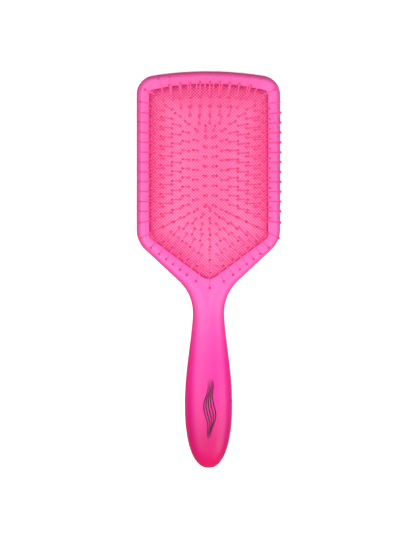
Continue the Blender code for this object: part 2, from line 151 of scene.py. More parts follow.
# pins: the tuples hold one value for each ring, from the outermost inwards
PIN_INSET = 3.4
RING_STEP = 5.25
TOP_MORE = (0.0, 0.0, 0.8, 0.7, 0.7, 0.2, -0.7)     # more inset along the top edge
LOWER_MORE = 2.3                                    # and along the lower edges
PIN_LENGTH = 19.0
PIN_SIDES = 14
FOOT_DEPTH = 2.2
FOOT_HEIGHT = 1.2
SHAFT_R = 0.37
SHAFT_FOOT_R = SHAFT_R * 1.1
SHAFT_TOP_R = 0.33
BALL_R = 0.82
BALL_NECK = 0.25
BALL_STEPS = 9
BALL_TIP_R = 0.02
RING_LEAN = (9.9, 8.6, 7.3, 5.4, 4.3, 3.1, 1.8)     # how far the side pins' tips stand out
TOP_LEAN = (0.8, 0.95, 0.66, 0.8, 0.75, 0.75, 0.75)     # shares of that lean
LOWER_LEAN = (1.0, 0.82, 0.72, 0.72, 0.8, 0.8, 0.8)
SIDE_STEPS = (14, 13, 12, 11, 10, 8, 7)             # spaces between pins along an edge
TOP_STEPS = (13, 10, 8, 6, 4, 3, 1)
LOWER_STEPS = (8, 6, 5, 4, 3, 2, 1)
CORNER_BLEND = 9.0              # leans blend within this distance of a corner
CORNER_POWER = 1.5
UPPER_TURN = 0.5                # at an upper corner pins turn less towards the next edge
UPPER_LESS = 0.6                # and lean less
WHOLE_LOWER_FROM = 4            # from this ring inwards the lower edge is one row
CENTRE_RING = 6

# printed strands on the handle
STRAND_COUNT = 5
STRAND_STEPS = 60
STRAND_MIDDLE_X = 0.5
STRAND_TOP_Y = -122.5
STRAND_LOW_Y = -160.0
STRAND_FAN = 5.6                # width of the bundle at its middle
STRAND_WAVE = 0.95              # swing of each strand to either side
STRAND_TURNS = 1.6
STRAND_PHASE = 0.06             # turns by which each strand's wave is ahead of the last
STRAND_STAGGER = 0.03           # outer strands start lower
STRAND_SHORTER = 0.10           # and are shorter
STRAND_FAN_AT_ENDS = 0.35       # share of the bundle's width left at its ends
STRAND_FAN_POWER = 0.7
STRAND_THIN = 0.06
STRAND_THICKER = 0.40
STRAND_TAPER_POWER = 0.6
STRAND_SHARP_ANGLE = math.radians(80.0)
STRAND_SECTION = ((-1.0, -0.06), (-0.8, 0.035), (0.0, 0.05), (0.8, 0.035), (1.0, -0.06))
PROBE_Z_M = 0.1                 # rays start here, above the handle

# colours, in sRGB from 0 to 255 unless four numbers are given, which are linear
# stops pair a colour with its Y, or for the rubber with its distance from the pad's edge
# painted shade, multiplied onto the shells' steep faces
STEEP_PAINTED_SHADE = (0.98, 0.20, 0.46, 1.0)
FRONT_STOPS = ((-180.0, (224, 2, 92)), (-172.0, (212, 0, 98)), (-160.0, (206, 0, 110)),
               (-138.0, (229, 22, 140)), (-112.0, (238, 44, 158)), (-96.0, (242, 66, 168)),
               (-76.0, (245, 93, 180)), (-40.0, (246, 102, 186)), (70.0, (246, 102, 184)))
BACK_STOPS = ((-178.0, (206, 26, 92)), (-150.0, (222, 48, 128)), (-84.0, (236, 84, 166)),
              (-40.0, (240, 92, 172)), (70.0, (240, 92, 172)))
# the rubber's pink, deepened towards the pad's edge as painted shade
RUBBER_EDGE_SHADE_STOPS = ((0.0, (238, 36, 124)), (3.0, (238, 50, 132)), (7.0, (237, 68, 142)),
                (12.0, (237, 90, 158)), (19.0, (237, 100, 166)), (30.0, (237, 86, 156)))
# painted light: shafts paler in the lowest and top rows, deeper between
SHAFT_PAINTED_LIGHT_STOPS = ((-80.0, (249, 102, 178)), (-45.0, (246, 96, 168)), (-25.0, (232, 62, 132)),
               (45.0, (232, 62, 132)), (58.0, (252, 98, 160)), (80.0, (252, 98, 160)))
TIP_STOPS = ((-80.0, (206, 40, 96)), (0.0, (214, 52, 106)), (80.0, (222, 62, 116)))
SHELL_CLOUD = (235, 62, 140)
SHELL_SPECK = (255, 196, 226)
# painted glow on the shells' steep faces
SHELL_PAINTED_GLOW = (228, 14, 106)
RUBBER_CLOUD = (238, 62, 124)
RUBBER_SHEEN = (255, 176, 206)
# painted glow near the pad's edge and on faces turned towards +Y
RUBBER_PAINTED_GLOW = (246, 50, 128)
NYLON_CLOUD = (226, 60, 124)
INK_TONES = ((62, 2, 40), (118, 10, 70))
SOCKET_TONES = ((246, 94, 160), (244, 84, 150))
# painted shade in the sockets' hollows
PIT_SHADE_TONES = ((236, 72, 136), (228, 62, 126))
DIAMOND_PITCH = 1.42            # of the rubber's grain

# stage
EXPOSURE = 0.53
WORLD_LIGHT = (0.051, 0.051, 0.051, 1.0)
WORLD_SEEN = (0.62, 0.62, 0.63, 1.0)
WORLD_BRIGHT_SIDE = (-0.1, -0.35, 0.93)
WORLD_FALL_FROM = -0.4
WORLD_LOW = 0.8
WORLD_HIGH = 1.45
FLOOR_TONES = ((0.93, 0.93, 0.93, 1.0), (0.96, 0.96, 0.96, 1.0))
FLOOR_REACH = 2000.0
FLOOR_Z = -0.3
FLOOR_GLOW = 0.35
FLOOR_BOUNCE = (0.35, 0.35, 0.35, 1.0)
LAMP_SIZE_M = 1.0
LAMP_AIM_M = (0.0, -0.04, 0.01)
KEY_PLACE_M = (-0.4, -0.1, 0.95)
KEY_POWER = 7.0
FILL_PLACE_M = (0.7, -0.4, 0.85)
FILL_POWER = 6.5

# camera
SENSOR = 36.0
CAMERA_HEIGHT_M = 0.750         # above the rim
VIEW_TALL_M = 0.33825           # how much of the rim's plane the picture's height shows
VIEW_DOWN_M = 0.05396           # how far the picture is shifted towards the handle
CAMERA_X_M = -0.025
CAMERA_TURN_M = 0.0245          # how far right of its own place the camera looks
LENS_TRIM = 1.007               # last correction of the brush's size in the picture


# ---------------------------------------------------------------- shapes

def arc(cx, cy, radius, start, end, steps):
    """Points along an arc, both ends included."""
    turn = (end - start) / steps
    return [(cx + radius * math.cos(start + turn * i), cy + radius * math.sin(start + turn * i))
            for i in range(steps + 1)]


def whole(half):
    """A closed loop from its right half and the mirror image of that half."""
    return half + [(-x, y) for x, y in reversed(half[1:-1])]


def smooth(t):
    """An even ramp from 0 to 1 with soft ends."""
    t = min(max(t, 0.0), 1.0)
    return t * t * (3.0 - 2.0 * t)


def line(start, end, steps):
    """Points between two ends, both left out, so that long stretches can follow a curved face."""
    return [(start[0] + (end[0] - start[0]) * i / steps, start[1] + (end[1] - start[1]) * i / steps)
            for i in range(1, steps)]


def capped_top(half_width, top, arc_r, corner_r, steps, corner_steps):
    """The right half of a bowed top edge with its rounded corner."""
    centre_y = top - arc_r
    reach = arc_r - corner_r
    corner_x = half_width - corner_r
    lean = math.asin(corner_x / reach)
    corner_y = centre_y + reach * math.cos(lean)
    upright = math.pi / 2.0
    across = arc(0.0, centre_y, arc_r, upright, upright - lean, steps)
    across[0] = (0.0, top)
    return across + arc(corner_x, corner_y, corner_r, upright - lean, 0.0, corner_steps)[1:]


def body_outline():
    """The brush's outline: head, shoulders, neck, grip and rounded end."""
    half = capped_top(HEAD_HALF, HEAD_TOP, HEAD_ARC_R, HEAD_CORNER_R, steps=16, corner_steps=14)
    tangent = SHOULDER_R * math.tan(TAPER_TURN / 2.0)
    shoulder = arc(HEAD_HALF - SHOULDER_R, SHOULDER_Y + tangent, SHOULDER_R, 0.0, -TAPER_TURN,
                   steps=12)
    neck_corner_y = SHOULDER_Y - (HEAD_HALF - NECK_HALF) / math.tan(TAPER_TURN)
    neck_y = neck_corner_y - NECK_R * math.tan(TAPER_TURN / 2.0)
    neck = arc(NECK_HALF + NECK_R, neck_y, NECK_R, math.pi - TAPER_TURN, math.pi, steps=16)
    half += line(half[-1], shoulder[0], steps=24) + shoulder
    half += line(half[-1], neck[0], steps=10) + neck
    swell_steps = 30
    for i in range(1, swell_steps + 1):
        share = i / swell_steps
        swell = math.sin(share * math.pi / 2.0) ** GRIP_RISE
        half.append((NECK_HALF + (GRIP_HALF - NECK_HALF) * swell,
                     neck_y + (GRIP_Y - neck_y) * share))
    length = GRIP_Y - HANDLE_END
    end_steps = 34
    for i in range(1, end_steps):
        turn = math.pi / 2.0 * i / end_steps
        half.append((GRIP_HALF * math.cos(turn) ** (2.0 / END_POWER),
                     GRIP_Y - length * math.sin(turn) ** (2.0 / END_POWER)))
    half.append((0.0, HANDLE_END))
    return whole(half)


def pad_outline():
    """The cushion's outline: bowed top, straight sides and a pointed lower end."""
    half = capped_top(PAD_HALF, PAD_TOP, PAD_ARC_R, PAD_CORNER_R, steps=22, corner_steps=10)
    side_y = PAD_TIP_Y + PAD_HALF * math.tan(PAD_V)
    turn = math.pi / 2.0 - PAD_V
    tangent = PAD_SIDE_R * math.tan(turn / 2.0)
    corner = arc(PAD_HALF - PAD_SIDE_R, side_y + tangent, PAD_SIDE_R, 0.0, -turn, steps=8)
    tip_y = PAD_TIP_Y + PAD_TIP_R / math.cos(PAD_V)
    tip = arc(0.0, tip_y, PAD_TIP_R, PAD_V - math.pi / 2.0, -math.pi / 2.0, steps=8)
    half += line(half[-1], corner[0], steps=48) + corner
    half += line(half[-1], tip[0], steps=22) + tip
    half[-1] = (0.0, tip_y - PAD_TIP_R)
    return whole(half)


def outward(loop):
    """For each point of a clockwise loop, the step that moves both its edges out by 1."""
    steps = []
    count = len(loop)
    for i, point in enumerate(loop):
        before = Vector(point) - Vector(loop[i - 1])
        after = Vector(loop[(i + 1) % count]) - Vector(point)
        first = Vector((-before.y, before.x)).normalized()
        second = Vector((-after.y, after.x)).normalized()
        middle = (first + second).normalized()
        steps.append(middle / middle.dot(first))
    return steps


def offset(loop, distance):
    """The loop grown by a distance."""
    return [(x + step.x * distance, y + step.y * distance)
            for (x, y), step in zip(loop, outward(loop))]


def at_height(loop, z):
    """The loop as points at one height."""
    return [(x, y, z) for x, y in loop]


def loft_data(loops):
    """Quads between loops of equal length, capped at both ends across the mirror plane."""
    count = len(loops[0])
    verts = [point for loop in loops for point in loop]
    faces = []
    for low, high in zip(range(len(loops) - 1), range(1, len(loops))):
        for i in range(count):
            j = (i + 1) % count
            faces.append((low * count + i, low * count + j, high * count + j, high * count + i))
    for start in (0, (len(loops) - 1) * count):
        for i in range(count // 2):
            ring = (i, i + 1, count - i - 1, (count - i) % count)
            faces.append(tuple(start + k for k in dict.fromkeys(ring)))
    return verts, faces


def add_mesh(name, verts, faces, look=None, sharp=SHARP_ANGLE, weld=0.0):
    """A smooth-shaded mesh object from points in millimetres."""
    mesh = bpy.data.meshes.new(name)
    mesh.from_pydata([tuple(c * MM for c in v) for v in verts], [], faces)
    work = bmesh.new()
    work.from_mesh(mesh)
    if weld:
        bmesh.ops.remove_doubles(work, verts=work.verts, dist=weld * MM)
        bmesh.ops.dissolve_degenerate(work, edges=work.edges, dist=weld * MM)
    bmesh.ops.recalc_face_normals(work, faces=work.faces)
    work.to_mesh(mesh)
    work.free()
    made = bpy.data.objects.new(name, mesh)
    bpy.context.scene.collection.objects.link(made)
    if look:
        mesh.materials.append(look)
    mesh.shade_smooth()
    mesh.set_sharp_from_angle(angle=sharp)
    return made


def cut(target, cutter):
    """Cuts one object out of another and removes the cutter."""
    made = target.modifiers.new("cut", "BOOLEAN")
    made.operation = "DIFFERENCE"
    made.solver = "EXACT"
    made.object = cutter
    bpy.context.view_layer.update()
    result = bpy.data.meshes.new_from_object(
        target.evaluated_get(bpy.context.evaluated_depsgraph_get()))
    target.modifiers.clear()
    old = target.data
    target.data = result
    bpy.data.meshes.remove(old)
    bpy.data.objects.remove(cutter, do_unlink=True)


def front_height(y):
    """Height of the front shell's face."""
    rise = smooth((SWELL_START_Y - y) / (SWELL_START_Y - GRIP_Y))
    drop = max(GRIP_Y - y, 0.0) / (GRIP_Y - HANDLE_END)
    return RIM_Z + (GRIP_Z - RIM_Z) * rise - END_DROP * drop * drop


def back_height(y):
    """Height of the back shell's face, which lifts off the table along the handle."""
    return BACK_RISE * smooth((BLEND_LOW_Y - y) / (BLEND_LOW_Y - HANDLE_END))


def shell_rows(loop):
    """For each outline point: x, y, inward step, how far its edge is rounded, handle's share."""
    rows = []
    for (x, y), step in zip(loop, outward(loop)):
        share = smooth((BLEND_TOP_Y - y) / (BLEND_TOP_Y - BLEND_LOW_Y))
        to_spine = Vector((-x, max(END_SPINE_Y - y, 0.0)))
        reach = to_spine.length
        to_spine = to_spine.normalized() if reach > 1e-6 else -step
        inward = (-step).lerp(to_spine, smooth((SPINE_BLEND_Y - y) / SPINE_BLEND_LENGTH))
        rounding = HEAD_EDGE_R * (1.0 - share) + HANDLE_ROUND * reach * share
        rows.append((x, y, inward, rounding, share))
    return rows


def shell_loops(rows, height, sign, crown):
    """Loops of one shell half, from the rounded seam edge to its flat."""
    start_z = SEAM_Z + sign * SEAM_GAP / 2.0
    middle = SEAM_EDGE_R * SEAM_EDGE_MIDDLE
    loops = []
    for inset, rise in ((SEAM_DEPTH, 0.0), (SEAM_EDGE_R, 0.0), (middle, middle),
                        (0.0, SEAM_EDGE_R)):
        loops.append([(x + w.x * inset, y + w.y * inset, start_z + sign * rise)
                      for x, y, w, _, _ in rows])
    seam = start_z + sign * SEAM_EDGE_R
    for k in range(1, SHELL_ROUND_STEPS + 1):
        turn = math.pi / 2.0 * k / SHELL_ROUND_STEPS
        loop = []
        for x, y, w, rounding, share in rows:
            power = 2.0 / (2.0 + (HANDLE_POWER - 2.0) * share)
            across = rounding * (1.0 - max(math.cos(turn), 0.0) ** power)
            there = y + w.y * across
            z = seam + (height(there) - seam) * math.sin(turn) ** power
            loop.append((0.0 if x == 0.0 else x + w.x * across, there, z))
        loops.append(loop)
    for k in range(1, RIM_STEPS + 1) if crown else ():
        part = k / RIM_STEPS
        loop = []
        for x, y, w, rounding, share in rows:
            across = rounding + RIM_FACE * part * (1.0 - share)
            there = y + w.y * across
            z = height(there) - crown * part * part * (1.0 - share)
            loop.append((0.0 if x == 0.0 else x + w.x * across, there, z))
        loops.append(loop)
    return loops


def edge_distances(x, y):
    """Distances to the pad's five edges, positive inside."""
    yield PAD_HALF - x
    yield PAD_HALF + x
    yield PAD_ARC_R - math.hypot(x, y - PAD_TOP + PAD_ARC_R)
    for side in (-1.0, 1.0):
        yield (y - PAD_TIP_Y) * math.cos(PAD_V) - side * x * math.sin(PAD_V)


def dome_height(x, y):
    """Height of the cushion's skin: a quarter ellipse over a softened distance to the edge."""
    total = sum(math.exp(-DOME_SHARPNESS * d) for d in edge_distances(x, y))
    depth = -math.log(total) / DOME_SHARPNESS
    share = min(max(depth / PAD_HALF, 0.0), 1.0)
    return PAD_EDGE_Z + DOME_H * math.sqrt(1.0 - (1.0 - share) ** 2)


def surface_normal(x, y):
    """The upward normal of the cushion's skin."""
    across = dome_height(x + SLOPE_STEP, y) - dome_height(x - SLOPE_STEP, y)
    along = dome_height(x, y + SLOPE_STEP) - dome_height(x, y - SLOPE_STEP)
    reach = 2.0 * SLOPE_STEP
    return Vector((-across / reach, -along / reach, 1.0)).normalized()


def shrunk(loop, share):
    """The loop drawn in towards the cushion's spine line."""
    drawn = []
    for x, y in loop:
        spine = min(max(y, SPINE_LOW_Y), SPINE_TOP_Y)
        drawn.append((x * share, spine + (y - spine) * share))
    return drawn


def turned(verts, faces, foot, along, profile, sides):
    """Adds a round body about the line through foot, from (distance, radius) pairs."""
    side = along.orthogonal().normalized()
    other = along.cross(side)
    start = len(verts)
    for distance, radius in profile:
        middle = foot + along * distance
        for k in range(sides):
            turn = 2.0 * math.pi * k / sides
            verts.append(middle + (side * math.cos(turn) + other * math.sin(turn)) * radius)
    for level in range(len(profile) - 1):
        low = start + level * sides
        for k in range(sides):
            j = (k + 1) % sides
            faces.append((low + k, low + j, low + sides + j, low + sides + k))
    faces.append(tuple(range(start, start + sides)))
    top = start + (len(profile) - 1) * sides
    faces.append(tuple(range(top, top + sides)))


# ---------------------------------------------------------------- pin layout

def ring_corners(ring):
    """Upper and lower corner, lowest point, and the top arc's radius and centre of one ring."""
    inset = PIN_INSET + RING_STEP * ring
    x = PAD_HALF - inset
    radius = PAD_ARC_R - inset - TOP_MORE[ring]
    centre_y = PAD_TOP - PAD_ARC_R
    tip_y = PAD_TIP_Y + (inset + LOWER_MORE) / math.cos(PAD_V)
    upper = Vector((x, centre_y + math.sqrt(radius * radius - x * x)))
    lower = Vector((x, tip_y + x * math.tan(PAD_V)))
    return upper, lower, Vector((0.0, tip_y)), radius, centre_y


def mixed(first, second, share, first_lean, second_lean):
    """A lean between two directions and two amounts."""
    direction = (first * (1.0 - share) + second * share).normalized()
    return direction * (first_lean * (1.0 - share) + second_lean * share)


def corner_share(distance):
    """How much of the neighbouring edge's lean a pin takes: half at a corner, fading to 0."""
    near = max(1.0 - distance / CORNER_BLEND, 0.0)
    return 0.5 * near ** CORNER_POWER


def ring_pins(ring):
    """Feet and leans of one ring: right side, lower right edge, top edge and lowest pin."""
    upper, lower, tip, radius, centre_y = ring_corners(ring)
    side_lean = RING_LEAN[ring]
    top_lean = side_lean * TOP_LEAN[ring]
    lower_lean = side_lean * LOWER_LEAN[ring]
    side_out = Vector((1.0, 0.0))
    lower_out = Vector((math.sin(PAD_V), -math.cos(PAD_V)))
    down_out = Vector((0.0, -1.0))

    def top_out(x):
        """Outward direction on the top edge."""
        return Vector((x / radius, math.sqrt(1.0 - (x / radius) ** 2)))

    side = []
    length = (upper - lower).length
    for i in range(SIDE_STEPS[ring] + 1):
        share = i / SIDE_STEPS[ring]
        place = upper.lerp(lower, share)
        high = corner_share(length * share)
        low = corner_share(length * (1.0 - share))
        if high >= low:
            lean = mixed(side_out, top_out(place.x), high * UPPER_TURN, side_lean, top_lean)
            lean *= 1.0 - UPPER_LESS * high
        else:
            lean = mixed(side_out, lower_out, low, side_lean, lower_lean)
        side.append((place, lean))
    down = []
    length = (tip - lower).length
    for i in range(1, LOWER_STEPS[ring]):
        share = i / LOWER_STEPS[ring]
        place = lower.lerp(tip, share)
        high = corner_share(length * share)
        low = corner_share(length * (1.0 - share))
        if high >= low:
            lean = mixed(lower_out, side_out, high, lower_lean, side_lean)
        else:
            lean = mixed(lower_out, down_out, 2.0 * low, lower_lean, lower_lean)
        down.append((place, lean))
    across = []
    for i in range(1, TOP_STEPS[ring]):
        x = upper.x * (1.0 - 2.0 * i / TOP_STEPS[ring])
        place = Vector((x, centre_y + math.sqrt(radius * radius - x * x)))
        share = corner_share(upper.x - abs(x))
        side_way = Vector((math.copysign(1.0, x), 0.0))
        across.append((place, mixed(top_out(x), side_way, share, top_lean, side_lean)))
    return side, down, across, (tip, down_out * lower_lean)


def mirrored(pins):
    """The same pins on the other side of the brush."""
    return [(Vector((-place.x, place.y)), Vector((-lean.x, lean.y))) for place, lean in pins]


def lifted(pins):
    """Each pin's foot on the skin and the direction of its shaft."""
    made = []
    for place, lean in pins:
        foot = Vector((place.x, place.y, dome_height(place.x, place.y)))
        rise = math.sqrt(PIN_LENGTH ** 2 - lean.length_squared)
        made.append((foot, Vector((lean.x, lean.y, rise)).normalized()))
    return made


def pin_rows():
    """CAD node name to its pins."""
    made = {}
    for ring in range(CENTRE_RING):
        side, down, across, tip = ring_pins(ring)
        label = str(ring + 1)
        made["pins_top_" + label] = across
        made["pins_right_" + label] = side
        made["pins_left_" + label] = mirrored(side)
        if ring < WHOLE_LOWER_FROM:
            made["pins_lower_right_" + label] = down
            made["pins_lower_left_" + label] = mirrored(down) + [tip]
        else:
            made["pins_lower_" + label] = down + [tip] + mirrored(down)
    side, _, _, tip = ring_pins(CENTRE_RING)
    made["pins_centre"] = [tip] + side + mirrored(side)
    return {name: lifted(pins) for name, pins in made.items()}


def shaft_profile():
    """(distance, radius) pairs of a pin's shaft, from inside the rubber to below the ball."""
    ball_foot = PIN_LENGTH - BALL_R - BALL_R * math.cos(math.asin(SHAFT_TOP_R / BALL_R))
    return [(-FOOT_DEPTH, SHAFT_FOOT_R), (0.0, SHAFT_FOOT_R), (FOOT_HEIGHT, SHAFT_R),
            (ball_foot - BALL_NECK, SHAFT_TOP_R)]


def ball_profile():
    """(distance, radius) pairs of a pin's ball tip."""
    centre = PIN_LENGTH - BALL_R
    neck = math.asin(SHAFT_TOP_R / BALL_R)
    profile = []
    for k in range(BALL_STEPS + 1):
        turn = neck + (math.pi - neck) * k / BALL_STEPS
        radius = max(BALL_R * math.sin(turn), BALL_TIP_R)
        profile.append((centre - BALL_R * math.cos(turn), radius))
    return profile


# ---------------------------------------------------------------- materials

def linear(red, green, blue):
    """An sRGB colour, 0 to 255, as linear light."""
    made = []
    for c in (red, green, blue):
        c /= 255.0
        made.append(c / 12.92 if c <= 0.04045 else ((c + 0.055) / 1.055) ** 2.4)
    return (*made, 1.0)


class Look:
    """A Principled material with short-hand for the nodes that drive it."""

    def __init__(self, name, **inputs):
        """A new material of this name, with its first shader inputs."""
        self.material = bpy.data.materials.new(name)
        self.material.use_nodes = True
        self.tree = self.material.node_tree
        self.shader = self.tree.nodes["Principled BSDF"]
        self.place = self.node("ShaderNodeTexCoord").outputs["Object"]
        self.fill(self.shader, inputs)

    def feed(self, socket, value):
        """Links another node's output to a socket, or sets the socket to a number or colour."""
        if isinstance(value, bpy.types.NodeSocket):
            self.tree.links.new(value, socket)
        else:
            socket.default_value = value

    def fill(self, node, inputs):
        """Feeds a node's inputs by name, with underscores for spaces."""
        for label, value in inputs.items():
            self.feed(node.inputs[label.replace("_", " ")], value)

    def node(self, kind, settings=None, **inputs):
        """A new node with its settings and inputs."""
        made = self.tree.nodes.new(kind)
        for label, value in (settings or {}).items():
            setattr(made, label, value)
        self.fill(made, inputs)
        return made

    def noise(self, scale, detail=3.0, stretch=None):
        """Noise in the object's own space, stretched if asked."""
        place = self.place
        if stretch:
            place = self.node("ShaderNodeMapping", Vector=place, Scale=stretch).outputs["Vector"]
        return self.node("ShaderNodeTexNoise", Vector=place, Scale=scale,
                         Detail=detail).outputs["Fac"]

    def spread(self, value, low, high, start=0.3, end=0.7):
        """The value between start and end, spread from low to high."""
        return self.node("ShaderNodeMapRange", Value=value, From_Min=start, From_Max=end,
                         To_Min=low, To_Max=high).outputs["Result"]

    def math(self, operation, first, second=0.0):
        """One arithmetic operation."""
        made = self.node("ShaderNodeMath", {"operation": operation})
        self.feed(made.inputs[0], first)
        self.feed(made.inputs[1], second)
        return made.outputs[0]

    def ramp(self, value, stops):
        """Colours along a value; stops are (value, colour) with values rising."""
        first, last = stops[0][0], stops[-1][0]
        share = self.spread(value, 0.0, 1.0, first, last)
        made = self.node("ShaderNodeValToRGB", Fac=share)
        elements = made.color_ramp.elements
        while len(elements) < len(stops):
            elements.new(0.5)
        for element, (place, colour) in zip(elements, stops):
            element.position = (place - first) / (last - first)
            element.color = colour
        return made.outputs["Color"]

    def mix(self, share, first, second, blend="MIX"):
        """Two colours mixed; sockets 0, 6 and 7 are the colour mix's factor, A and B."""
        made = self.node("ShaderNodeMix", {"data_type": "RGBA", "blend_type": blend})
        for index, value in ((0, share), (6, first), (7, second)):
            self.feed(made.inputs[index], value)
        return made.outputs[2]

    def axis(self, label):
        """One coordinate in the object's own space, in metres."""
        return self.node("ShaderNodeSeparateXYZ", Vector=self.place).outputs[label]

    def facing(self, label):
        """One coordinate of the surface's own normal."""
        normal = self.node("ShaderNodeTexCoord").outputs["Normal"]
        return self.node("ShaderNodeSeparateXYZ", Vector=normal).outputs[label]

    def steep(self, level, upright):
        """0 on faces whose normal's Z is level or more either way, 1 where it is upright or less."""
        return self.spread(self.math("ABSOLUTE", self.facing("Z")), 1.0, 0.0, upright, level)

    def bump(self, height, distance, strength=1.0, under=None):
        """A normal bumped by a height, over another normal if given."""
        made = self.node("ShaderNodeBump", Height=height, Distance=distance * MM,
                         Strength=strength)
        if under:
            self.tree.links.new(under, made.inputs["Normal"])
        return made.outputs["Normal"]

    def use(self, **inputs):
        """Feeds the shader and gives the finished material."""
        self.fill(self.shader, inputs)
        return self.material


def along_handle(look, stops):
    """Colours that change along Y."""
    return look.ramp(look.axis("Y"), [(y * MM, linear(*colour)) for y, colour in stops])


def shell_look(name, stops):
    """Satin moulded plastic whose pink deepens towards the handle's end; painted shade and glow on
    steep faces.
    """
    look = Look(name, IOR=1.46)
    colour = along_handle(look, stops)
    cloud = look.spread(look.noise(45.0, 4.0), 0.0, 1.0)
    colour = look.mix(look.math("MULTIPLY", cloud, 0.10), colour, linear(*SHELL_CLOUD))
    speck = look.spread(look.noise(5200.0, 2.0), 0.0, 0.07, 0.6, 0.8)
    colour = look.mix(speck, colour, linear(*SHELL_SPECK))
    # painted shade and a painted glow on steep faces, such as the outline's sides and the opening's
    # wall
    edge = look.steep(0.86, 0.15)
    colour = look.mix(edge, colour, STEEP_PAINTED_SHADE, "MULTIPLY")
    grain = look.noise(2600.0, 3.0)
    rub = look.spread(look.noise(60.0, 5.0, (7.0, 0.6, 3.0)), 0.0, 1.0, 0.45, 0.8)
    rough = look.math("ADD", look.spread(grain, 0.36, 0.46), look.math("MULTIPLY", rub, 0.07))
    normal = look.bump(grain, 0.02, 0.35)
    normal = look.bump(look.noise(60.0, 2.0), 0.12, 0.25, normal)
    return look.use(Base_Color=colour, Roughness=rough, Normal=normal,
                    Specular_IOR_Level=look.spread(edge, 0.35, 0.1, 0.0, 1.0),
                    Coat_Weight=look.spread(edge, 0.08, 0.0, 0.0, 1.0), Coat_Roughness=0.25,
                    Emission_Color=linear(*SHELL_PAINTED_GLOW),
                    Emission_Strength=look.spread(edge, 0.0, 0.15, 0.2, 1.0))


def rubber_look():
    """Matt rubber with a fine diamond grain, painted sheen on its crests, painted shade deepening
    its colour towards the edge, and a painted glow.
    """
    look = Look("cushion_rubber_skin", IOR=1.45)
    depth = look.node("ShaderNodeAttribute", {"attribute_name": "depth"}).outputs["Fac"]
    # colour by distance from the edge: deeper near it as painted shade
    colour = look.ramp(depth, [(inside, linear(*tone)) for inside, tone in RUBBER_EDGE_SHADE_STOPS])
    cloud = look.spread(look.noise(90.0, 4.0), 0.0, 0.12)
    colour = look.mix(cloud, colour, linear(*RUBBER_CLOUD))
    across = look.axis("X")
    along = look.axis("Y")
    turns = 2.0 * math.pi / (DIAMOND_PITCH * MM * math.sqrt(2.0))
    first = look.math("SINE", look.math("MULTIPLY", look.math("ADD", across, along), turns))
    second = look.math("SINE", look.math("MULTIPLY", look.math("SUBTRACT", across, along), turns))
    diamond = look.math("ADD", first, second)
    # painted sheen on the grain's crests, less on steep faces
    tint = look.spread(diamond, 0.0, 0.56, -0.6, 1.9)
    tint = look.math("MULTIPLY", tint, look.math("SUBTRACT", 1.0, look.steep(0.8, 0.35)))
    colour = look.mix(tint, colour, linear(*RUBBER_SHEEN))
    normal = look.bump(look.math("MULTIPLY", diamond, tint), 0.08, 0.5)
    normal = look.bump(look.noise(3000.0, 2.0), 0.02, 0.4, normal)
    rough = look.spread(look.noise(500.0, 3.0), 0.48, 0.60)
    # painted glow near the edge and on faces turned towards +Y
    skirt = look.spread(depth, 1.0, 0.0, 0.3, 1.2)
    painted_glow = look.math("ADD", look.math("MULTIPLY", skirt, 0.10),
                     look.spread(look.facing("Y"), 0.0, 0.12, 0.3, 0.9))
    return look.use(Base_Color=colour, Roughness=rough, Normal=normal,
                    Specular_IOR_Level=look.spread(skirt, 0.4, 0.05, 0.0, 1.0),
                    Emission_Color=linear(*RUBBER_PAINTED_GLOW), Emission_Strength=painted_glow)


def nylon_look(name, stops, roughness, painted_glow):
    """Nylon with a painted glow of its own colour, standing in for light that soaks into it."""
    look = Look(name, IOR=1.53)
    body = along_handle(look, stops)
    cloud = look.spread(look.noise(260.0, 3.0), 0.0, 0.3)
    tone = look.mix(cloud, body, linear(*NYLON_CLOUD))
    grain = look.noise(3800.0, 2.0)
    rough = look.spread(grain, roughness - 0.04, roughness + 0.06)
    return look.use(Base_Color=tone, Roughness=rough, Normal=look.bump(grain, 0.01, 0.3),
                    Emission_Color=body, Emission_Strength=painted_glow)


def ink_look():
    """Dark print, slightly worn."""
    look = Look("print_ink", IOR=1.5)
    wear = look.spread(look.noise(900.0, 4.0), 0.0, 0.35, 0.5, 0.75)
    colour = look.mix(wear, *[linear(*tone) for tone in INK_TONES])
    grain = look.noise(4000.0, 2.0)
    return look.use(Base_Color=colour, Roughness=look.spread(grain, 0.40, 0.55),
                    Normal=look.bump(grain, 0.01, 0.4), Specular_IOR_Level=0.2)


def socket_look():
    """The moulded ring round a pin's foot."""
    look = Look("socket_rubber", IOR=1.45)
    tone = look.mix(look.spread(look.noise(700.0, 3.0), 0.0, 1.0),
                    *[linear(*tone) for tone in SOCKET_TONES])
    grain = look.noise(3200.0, 2.0)
    return look.use(Base_Color=tone, Roughness=look.spread(grain, 0.5, 0.62),
                    Normal=look.bump(grain, 0.015, 0.4))


def pit_shade_look():
    """A darker disc inside that ring: painted shade in its hollow."""
    look = Look("socket_pit_shade", IOR=1.45)
    tone = look.mix(look.spread(look.noise(700.0, 3.0), 0.0, 1.0),
                    *[linear(*tone) for tone in PIT_SHADE_TONES])
    return look.use(Base_Color=tone, Roughness=look.spread(look.noise(3200.0, 2.0), 0.6, 0.75))


# ---------------------------------------------------------------- pieces

def finish_piece(piece, body, slot, *nodes):
    """Ties a piece to its body, and to the CAD nodes that it replaces; its slot is not used."""
    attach(piece, body)
    if nodes:
        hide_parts(*nodes)


